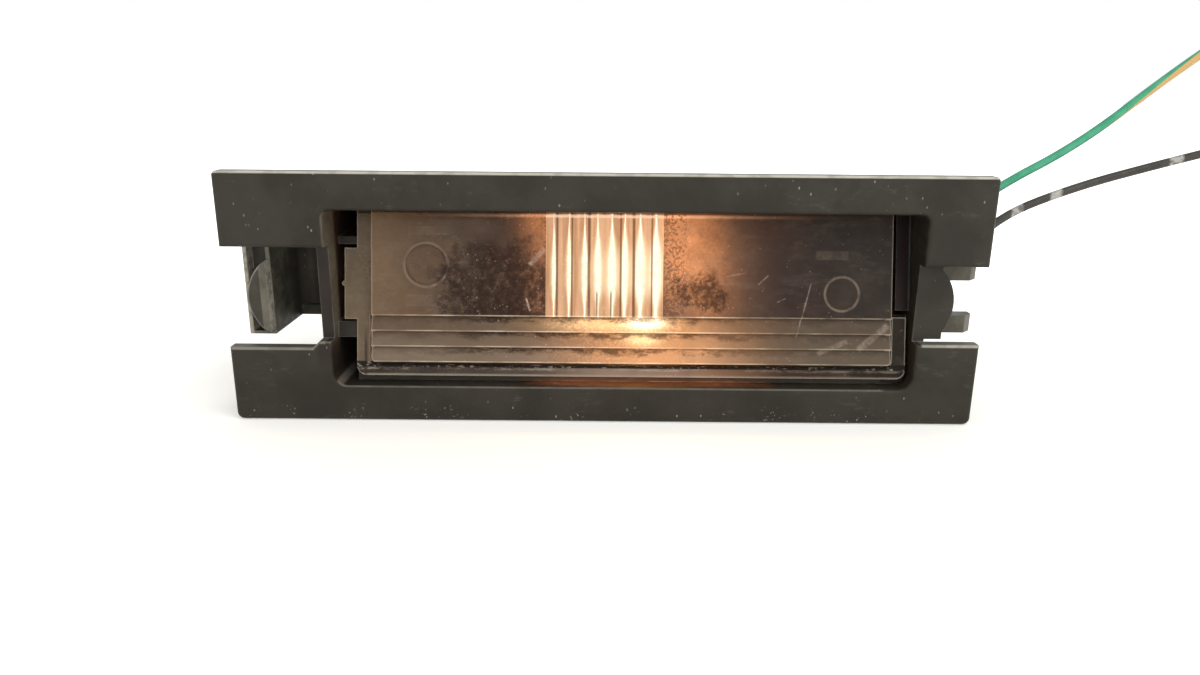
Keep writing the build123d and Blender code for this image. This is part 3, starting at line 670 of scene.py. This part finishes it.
def film_edges(graph, film):
    """The film with a dark line painted as a groove's shade at its left, and painted highlights on the
    lens's edges and the steps' crests.
    """
    # painted shade: a dark line as of a groove at the face's left
    left_groove_shade = graph.times(
        graph.band(graph.x, lens_left - 1.4 * MM, lens_left - 1.2 * MM),
        graph.band(graph.x, lens_left - 0.8 * MM, lens_left - 1.0 * MM),
        graph.band(graph.slope, step_top - 1.0 * MM, step_low + 1.5 * MM),
    )
    film = graph.mix(graph.times(left_groove_shade, 0.75), film, (0.03, 0.021, 0.015))
    # painted highlights on the right rim's edges, then on the lens's outer edges
    film = graph.mix(graph.times(graph.edges(0.35 * MM), graph.right_rim, 0.6), film, edge_highlight_colour)
    inner = graph.times(graph.band(graph.x, lens_right - 0.6 * MM, lens_right - 0.9 * MM), graph.face)
    outer = graph.times(graph.band(graph.height, back_height, back_height + 0.1 * MM), graph.less(inner))
    left_side = graph.band(graph.x, lens_left + 0.5 * MM, lens_left + 0.3 * MM)
    film = graph.mix(graph.times(graph.edges(0.4 * MM), graph.most(outer, left_side), 0.6), film, edge_highlight_colour)
    # painted highlights on the steps' crests, broken by noise
    uneven = graph.band(graph.noise(800, 4, 0.6, (0.3, 1.0, 1.0)), 0.35, 0.62, 0.2, 0.75)
    near_steps = graph.band(graph.slope, step_top + 0.24 * MM, step_top + 0.18 * MM)
    crests = graph.times(graph.band(graph.phase, 0.9, 0.95), near_steps, graph.face, uneven)
    faded_left = graph.band(graph.x, -31 * MM, -20 * MM, 0.5, 1.0)
    faded_right = graph.band(graph.x, 12 * MM, 26 * MM, 1.0, 0.42)
    return graph.mix(graph.times(crests, faded_left, faded_right), film, (0.55, 0.45, 0.33))


def lens_film(graph, soot, grime_and_shade, groove):
    """Colour of the dirty film on the lens, with painted shade and pale beads in the groove below its face.
    """
    film = film_edges(graph, film_marks(graph, film_base(graph, soot), grime_and_shade))
    beads = graph.band(graph.noise(1500, 4, 0.6), 0.56, 0.64)
    # the groove below the face: near black painted shade with pale beads
    groove_shade_and_beads = graph.mix(graph.times(beads, 0.5), (0.01, 0.008, 0.006), (0.4, 0.33, 0.26))
    return graph.mix(groove, film, groove_shade_and_beads)


def flute_light(graph):
    """Light of the flutes: each has a spindle of glare and a dark line beside it."""
    streak = graph.band(graph.noise(900, 3, 0.6, (1.0, 0.03, 0.03)), 0.38, 0.62)
    light = graph.mix(streak, (0.72, 0.42, 0.24), (0.5, 0.265, 0.135))
    wobble = graph.band(graph.noise(650, 5, 0.65, (1.0, 0.6, 0.6)), 0.3, 0.7, -0.05 * MM, 0.05 * MM)
    bent = graph.math("ADD", graph.x, wobble)
    spindle = graph.times(
        graph.band(graph.slope, 10.8 * MM, 3.8 * MM, 0.1, 1.0),
        graph.band(graph.slope, -2.0 * MM, 2.6 * MM, 0.25, 1.0),
    )
    low = graph.band(graph.slope, 1.5 * MM, 0.3 * MM)
    speckle = graph.band(graph.noise(1500, 7, 0.8), 0.36, 0.5, 0.55, 1.0)
    for middle, reach, seam, seam_reach, whole in flutes:
        out = graph.math("DIVIDE", graph.off(bent, middle), graph.times(spindle, reach))
        glare = graph.times(graph.band(out, 1.6, 0.2), speckle)
        halo = graph.band(out, 3.0, 0.8)
        light = graph.mix(graph.times(halo, 0.55), light, (1.0, 0.76, 0.45))
        light = graph.mix(glare, light, (1.3, 1.2, 0.9))
        beside = graph.off(graph.x, seam)
        line = graph.times(graph.band(beside, 1.3 * seam_reach, 0.5 * seam_reach), 0.85)
        if not whole:
            line = graph.times(line, low)
        light = graph.mix(line, light, (0.1, 0.045, 0.025))
    top = graph.times(
        graph.band(graph.slope, shadow_start - 0.45 * MM, shadow_start - 0.3 * MM),
        graph.band(graph.slope, shadow_start + 0.05 * MM, shadow_start - 0.1 * MM),
        0.7,
    )
    return graph.mix(top, light, (0.95, 0.68, 0.48))


def lens_light(graph, grime_and_shade):
    """Light that leaves the lens's face: the flutes' and the soft glow round the bulb."""
    light = graph.mix(graph.fluted, no_light, flute_light(graph))
    worms = graph.band(graph.noise(2700, 4, 0.6), 0.42, 0.56, 0.4, 1.4)
    cloudy = graph.band(graph.noise(420, 5, 0.6), 0.3, 0.7, 0.7, 1.25)
    beside = graph.times(
        graph.band(graph.x, flute_right + 3.6 * MM, flute_right + 2.2 * MM, 0.15, 1.0),
        graph.band(graph.x, flute_left - 0.5 * MM, flute_left, 0.25, 1.0),
    )
    worms = graph.math("ADD", graph.times(worms, beside), graph.times(cloudy, graph.less(beside)))
    clean = graph.times(graph.less(graph.times(grime_and_shade, 0.8)), graph.less(graph.fluted), graph.face)
    clean = graph.times(clean, graph.most(worms, graph.below_top))
    for colour, centre, size, on_steps in glows:
        where = graph.below_top if on_steps else graph.above_top
        cover = graph.times(graph.patch(centre, size), clean, where)
        light = graph.sum(light, graph.mix(cover, no_light, colour))
    return graph.mix(graph.times(graph.shaded, 0.85), light, no_light)


def lens_haze(graph, soot, groove):
    """Share of the surface under the film; the rest is clear."""
    haze = graph.band(graph.noise(180, 5, 0.6), 0.3, 0.7, 0.72, 0.88)
    frosted = graph.band(graph.x, flute_right + 1.0 * MM, flute_right + 5.0 * MM)
    haze = graph.most(haze, graph.fluted, graph.times(graph.steps, 0.9), frosted, graph.times(soot, 0.95))
    above_back = graph.band(graph.height, back_height - 0.03 * MM, back_height + 0.05 * MM, 0.12, 1.0)
    return graph.most(graph.times(haze, above_back), graph.times(graph.right_rim, 0.85), groove)


def lens_plastic():
    """Clear lens with a grimy film, browned by the bulb, and flutes that catch its light."""
    graph = LensGraph("clear_lens")
    below_face = graph.band(graph.slope, step_low + 0.02 * MM, step_low - 0.02 * MM)
    groove = graph.times(below_face, graph.band(graph.slope, step_low - 0.85 * MM, step_low - 0.7 * MM))
    soot = lens_soot(graph)
    grime_and_shade = lens_grime_and_shade(graph, soot)
    film_inputs = {
        "Base Color": lens_film(graph, soot, grime_and_shade, groove),
        "Roughness": graph.band(graph.noise(600, 4), 0.3, 0.7, 0.3, 0.45),
        "IOR": 1.49,
        "Specular IOR Level": 0.1,
        "Emission Color": lens_light(graph, grime_and_shade),
        "Emission Strength": graph.band(graph.height, back_height + 0.15 * MM, back_height + 0.25 * MM),
    }
    front = graph.node("BsdfPrincipled", film_inputs)
    passed = graph.mix(grime_and_shade, (0.85, 0.5, 0.27), (0.14, 0.06, 0.03))
    back = graph.node("BsdfTranslucent", {"Color": passed})
    clear_inputs = {
        "Base Color": (0.94, 0.88, 0.78, 1.0),
        "Roughness": 0.07,
        "IOR": 1.49,
        "Specular IOR Level": 0.3,
        "Transmission Weight": 1.0,
    }
    clear = graph.node("BsdfPrincipled", clear_inputs)
    coat = graph.blend(0.02, front, back)
    surface = graph.blend(lens_haze(graph, soot, groove), clear, coat)
    return graph.finish(through_light(graph, surface, (0.5, 0.47, 0.42)))


def through_light(graph, shader, tint):
    """The shader, with shadow rays let through so that the bulb and the studio light pass."""
    shadow = graph.node("LightPath").outputs["Is Shadow Ray"]
    clear = graph.node("BsdfTransparent", {"Color": (*tint, 1.0)})
    return graph.blend(shadow, shader, clear)


def bulb_glass():
    """Thin clear glass."""
    graph = Graph("bulb_glass")
    inputs = {
        "Base Color": (0.98, 0.96, 0.92, 1.0),
        "Roughness": 0.03,
        "IOR": 1.5,
        "Transmission Weight": 1.0,
    }
    glass = graph.node("BsdfPrincipled", inputs)
    return graph.finish(through_light(graph, glass, (0.95, 0.93, 0.9)))


def glowing_filament():
    """Tungsten that glows warm."""
    graph = Graph("filament")
    inputs = {
        "Base Color": (0.3, 0.28, 0.26, 1.0),
        "Metallic": 1.0,
        "Roughness": 0.4,
        "Emission Color": (1.0, 0.62, 0.28, 1.0),
        "Emission Strength": 30.0,
    }
    return graph.finish(graph.node("BsdfPrincipled", inputs))


def plain_plastic(name, dark, light, rough, grain=4500):
    """Moulded plastic or rubber with a faint mottle, a fine grain and lighter edges."""
    graph = Graph(name)
    colour = graph.mix(graph.band(graph.noise(300, 4), 0.35, 0.65), dark, light)
    paler = tuple(min(1.0, 2.2 * value + 0.02) for value in light)
    colour = graph.mix(graph.times(graph.edges(0.2 * MM), 0.45), colour, paler)
    roughness = graph.band(graph.noise(900, 3), 0.3, 0.7, rough - 0.06, rough + 0.08)
    bump = graph.bump(graph.noise(grain, 3), 0.03 * MM, 0.3, 0.12 * MM)
    inputs = {"Base Color": colour, "Roughness": roughness, "Normal": bump}
    return graph.finish(graph.node("BsdfPrincipled", inputs))


def plain_metal(name, bright, tarnish, rough):
    """Sheet or drawn metal with a patchy tarnish and fine drawing lines."""
    graph = Graph(name)
    colour = graph.mix(graph.band(graph.noise(900, 4), 0.4, 0.7), bright, tarnish)
    roughness = graph.band(graph.noise(1500, 3), 0.3, 0.7, rough - 0.08, rough + 0.12)
    bump = graph.bump(graph.noise(3000, 2, 0.5, (0.1, 1.0, 1.0)), 0.02 * MM, 0.3)
    inputs = {"Base Color": colour, "Metallic": 1.0, "Roughness": roughness, "Normal": bump}
    return graph.finish(graph.node("BsdfPrincipled", inputs))


def wire_base(graph, dark, light):
    """Mottled colour with painted shade on the underside, sheen and fine bumps of a lead's insulation."""
    colour = graph.mix(graph.band(graph.noise(500, 4), 0.35, 0.65), dark, light)
    # painted shade: darker towards the underside
    underside_shade = graph.band(graph.normal("Z"), 0.1, -0.9, 0.0, 0.65)
    colour = graph.mix(underside_shade, colour, tuple(0.3 * value for value in dark))
    rough = graph.band(graph.noise(900, 3), 0.3, 0.7, 0.34, 0.5)
    bump = graph.bump(graph.noise(2500, 3), 0.03 * MM, 0.3)
    return colour, {"Roughness": rough, "Specular IOR Level": 0.35, "Normal": bump}


def green_insulation():
    """Green with one tan stripe that turns slowly round the lead."""
    graph = Graph("green_insulation")
    colour, inputs = wire_base(graph, (0.036, 0.25, 0.14), (0.055, 0.3, 0.175))
    around = graph.node("SeparateXYZ", {0: graph.node("TexCoord").outputs["UV"]})
    turned = graph.times(around.outputs["X"], stripe_turns)
    place = graph.math("ADD", graph.math("ADD", around.outputs["Y"], turned), stripe_start)
    stripe = graph.band(graph.off(graph.math("FRACT", place), 0.5), 0.15, 0.12)
    inputs["Base Color"] = graph.mix(stripe, colour, (0.47, 0.29, 0.1))
    return graph.finish(graph.node("BsdfPrincipled", inputs))


def black_insulation():
    """Near black with pairs of pale ring marks."""
    graph = Graph("black_insulation")
    colour, inputs = wire_base(graph, (0.023, 0.021, 0.016), (0.038, 0.035, 0.028))
    x = graph.axis("X")
    half = 0.5 * ring_width / ring_pitch
    marks = 0.0
    for first in (ring_start, ring_start + ring_gap):
        run = graph.math("DIVIDE", graph.math("SUBTRACT", x, first), ring_pitch)
        beside = graph.off(run, graph.math("ROUND", run))
        marks = graph.most(marks, graph.band(beside, 1.3 * half, 0.7 * half))
    patchiness = graph.band(graph.noise(1500, 4), 0.36, 0.56, 0.2, 0.8)
    inputs["Base Color"] = graph.mix(graph.times(marks, patchiness), colour, (0.4, 0.39, 0.36))
    return graph.finish(graph.node("BsdfPrincipled", inputs))


def add_curve(name, kind, points, radius, material):
    """A round wire along the points, riding on the lamp."""
    curve = bpy.data.curves.new(name, "CURVE")
    curve.dimensions = "3D"
    curve.bevel_depth = radius
    curve.bevel_resolution = 5
    curve.resolution_u = 10
    curve.use_fill_caps = True
    spline = curve.splines.new(kind)
    spline.points.add(len(points) - 1)
    for control, point in zip(spline.points, points):
        control.co = (*point, 1.0)
    if kind == "NURBS":
        spline.order_u = 3
        spline.use_endpoint_u = True
    curve.materials.append(material)
    wire = bpy.data.objects.new(name, curve)
    bpy.context.scene.collection.objects.link(wire)
    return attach(wire, "root")


def add_filament(material):
    """The filament as the fine coil that it is, bowed between its two supports."""
    low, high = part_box("bulb_filament")
    middle = (low + high) / 2
    half = (high.z - low.z) / 2 - coil_radius
    bow = high.x - low.x - 2 * coil_radius
    points = []
    for number in range(coil_turns * coil_points + 1):
        share = 2 * number / (coil_turns * coil_points) - 1
        angle = 2 * math.pi * number / coil_points
        x = low.x + coil_radius + bow * share**2 + coil_radius * math.cos(angle)
        points.append(Vector((x, middle.y + coil_radius * math.sin(angle), middle.z + half * share)))
    coil = add_curve("filament_coil", "POLY", points, coil_wire, material)
    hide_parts("bulb_filament")


def paint(material, *names):
    """Give the CAD nodes of these names one material."""
    for name in names:
        nodes[name].data.materials.clear()
        nodes[name].data.materials.append(material)


def add_camera():
    """The photo's view, with no depth of field."""
    data = bpy.data.cameras.new("camera")
    data.sensor_width = sensor_width
    data.lens = focal_pixels * sensor_width / image_width
    data.clip_start = 1 * MM
    camera = bpy.data.objects.new("camera", data)
    turn = Matrix.Rotation(math.pi / 2 - camera_pitch, 4, "X") @ Matrix.Rotation(camera_roll, 4, "Z")
    camera.matrix_world = Matrix.Translation(camera_place) @ turn
    bpy.context.scene.collection.objects.link(camera)
    bpy.context.scene.camera = camera


def add_light(name, place, size, power, mirrored):
    """A round studio light aimed at the lamp, left out of reflections unless mirrored."""
    data = bpy.data.lights.new(name, "AREA")
    data.shape = "DISK"
    data.size = size
    data.energy = power
    light = bpy.data.objects.new(name, data)
    aim = (-Vector(place)).to_track_quat("-Z", "Y")
    light.matrix_world = Matrix.Translation(place) @ aim.to_matrix().to_4x4()
    light.visible_glossy = mirrored
    bpy.context.scene.collection.objects.link(light)


def add_bulb_light():
    """The lit filament's light inside the housing."""
    data = bpy.data.lights.new("bulb_light", "POINT")
    data.energy = bulb_power
    data.color = bulb_colour
    data.shadow_soft_size = bulb_light_radius
    light = bpy.data.objects.new("bulb_light", data)
    light.location = filament_place
    bpy.context.scene.collection.objects.link(light)


def add_rim_lights():
    """The bulb's light that leaves below the lens onto the housing, strongest in the middle."""
    for width in rim_light_widths:
        data = bpy.data.lights.new("rim_light", "AREA")
        data.shape = "ELLIPSE"
        data.size = width
        data.size_y = rim_light_depth
        data.energy = rim_light_power
        data.color = rim_light_colour
        light = bpy.data.objects.new("rim_light", data)
        light.location = rim_light_place
        light.visible_camera = False
        light.visible_glossy = False
        bpy.context.scene.collection.objects.link(light)


def add_world(strength):
    """Even white light, and plain white where the camera, gloss and glass see it."""
    world = bpy.data.worlds.new("world")
    bpy.context.scene.world = world
    world.use_nodes = True
    tree = world.node_tree
    tree.nodes.clear()
    path = tree.nodes.new("ShaderNodeLightPath")
    seen = tree.nodes.new("ShaderNodeMath")
    seen.operation = "MAXIMUM"
    through = tree.nodes.new("ShaderNodeMath")
    through.operation = "MAXIMUM"
    tree.links.new(path.outputs["Is Camera Ray"], seen.inputs[0])
    tree.links.new(path.outputs["Is Glossy Ray"], seen.inputs[1])
    tree.links.new(seen.outputs[0], through.inputs[0])
    tree.links.new(path.outputs["Is Transmission Ray"], through.inputs[1])
    level = tree.nodes.new("ShaderNodeMapRange")
    level.inputs["To Min"].default_value = strength
    level.inputs["To Max"].default_value = 1.0
    tree.links.new(through.outputs[0], level.inputs["Value"])
    background = tree.nodes.new("ShaderNodeBackground")
    background.inputs["Color"].default_value = (1.0, 1.0, 1.0, 1.0)
    tree.links.new(level.outputs[0], background.inputs["Strength"])
    output = tree.nodes.new("ShaderNodeOutputWorld")
    tree.links.new(background.outputs[0], output.inputs["Surface"])


def add_floor(height):
    """Pale floor that keeps the lamp's shadow and is white elsewhere to the camera, gloss and glass."""
    bpy.ops.mesh.primitive_plane_add(size=floor_size, location=(0, 0, height))
    floor = bpy.context.object
    floor.name = "floor"
    graph = Graph("floor")
    path = graph.node("LightPath").outputs
    seen = graph.most(path["Is Camera Ray"], path["Is Glossy Ray"], path["Is Transmission Ray"])
    distance = graph.node("VectorMath", {0: graph.place}, operation="LENGTH").outputs["Value"]
    whiter = graph.band(distance, *floor_shadow_reach, floor_shadow_level, 1.0)
    inputs = {
        "Base Color": floor_colour,
        "Roughness": 0.9,
        "Emission Color": (1.0, 1.0, 1.0, 1.0),
        "Emission Strength": graph.times(seen, whiter),
    }
    floor.data.materials.append(graph.finish(graph.node("BsdfPrincipled", inputs)))


def add_studio():
    """Camera, world, floor and lights."""
    bpy.context.scene.view_settings.view_transform = "Standard"
    add_camera()
    add_world(world_strength)
    add_floor(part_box("housing")[0].z - floor_gap)
    for light in studio_lights:
        add_light(*light)
    add_bulb_light()
    add_rim_lights()


def dress_nodes():
    """Materials for the CAD nodes that are seen as they are."""
    paint(housing_plastic(), "housing")
    paint(lens_plastic(), "lens")
    paint(bulb_glass(), "bulb_glass")
    lead_wire = plain_metal("lead_wire", (0.5, 0.48, 0.45), (0.3, 0.27, 0.22), 0.35)
    paint(lead_wire, "bulb_lead_upper", "bulb_lead_lower")
    holder = plain_plastic("holder_plastic", (0.02, 0.02, 0.021), (0.035, 0.034, 0.033), 0.5)
    paint(holder, "bulb_holder")
    rubber = plain_plastic("seal_rubber", (0.012, 0.012, 0.012), (0.02, 0.02, 0.02), 0.7)
    paint(rubber, "holder_seal")
    brass = plain_metal("contact_brass", (0.75, 0.55, 0.25), (0.45, 0.3, 0.12), 0.3)
    paint(brass, "contact_upper", "contact_lower")
    connector = plain_plastic("connector_plastic", (0.022, 0.022, 0.023), (0.035, 0.035, 0.036), 0.48)
    paint(connector, "connector_housing")
    lock = plain_plastic("lock_plastic", (0.55, 0.53, 0.5), (0.68, 0.66, 0.62), 0.45)
    paint(lock, "connector_lock")
    wire_seal = plain_plastic("wire_seal_rubber", (0.32, 0.1, 0.04), (0.42, 0.15, 0.06), 0.6)
    paint(wire_seal, "connector_seal_green", "connector_seal_black")
    tin = plain_metal("terminal_tin", (0.72, 0.72, 0.7), (0.5, 0.49, 0.46), 0.3)
    paint(tin, "terminal_green", "terminal_black")


def add_leads():
    """The two leads as cords that end in the connector."""
    wires = (
        ("wire_green", green_route, green_length, green_insulation(), "green_insulation"),
        ("wire_black", black_route, black_length, black_insulation(), "black_insulation"),
    )
    for name, route, length, material, slot in wires:
        points = [Vector(point) * MM for point in route]
        wire = add_curve(name + "_lead", "NURBS", points, wire_diameter / 2, material)
        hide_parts(name)


add_studio()
dress_nodes()
add_filament(glowing_filament())
add_leads()
